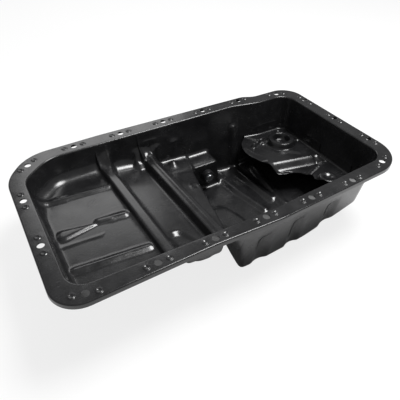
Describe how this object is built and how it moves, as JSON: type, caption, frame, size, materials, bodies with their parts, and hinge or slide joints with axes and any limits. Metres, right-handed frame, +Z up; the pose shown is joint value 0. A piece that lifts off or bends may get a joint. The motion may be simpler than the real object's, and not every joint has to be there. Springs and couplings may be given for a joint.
{
  "type": "engine oil pan",
  "caption": "Pressed steel oil pan with a bolting flange, a shallow floor, cross ridges, a deep sump with a welded baffle, and a side drain plug with its weld nut and washer.",
  "frame": {"origin": "Under the middle of the bolting flange's hole rows, on the level of the sump's underside; the flange's face is 96 mm above it.", "axes": "+Z is up, out of the pan's open side, normal to the flange. +X runs along the pan from the shallow end to the deep sump. +Y runs across it, towards the side with the drain plug."},
  "size_m": [0.4155, 0.2368, 0.0968],
  "materials": {
    "black_paint": "satin black dip coat",
    "zinc_steel": "zinc-plated steel",
    "washer_copper": "soft copper"
  },
  "bodies": {
    "root": {"pan_shell": "black_paint", "sump_baffle": "black_paint", "drain_nut": "black_paint", "drain_washer": "washer_copper", "drain_plug": "zinc_steel"}
  },
  "joints": []
}
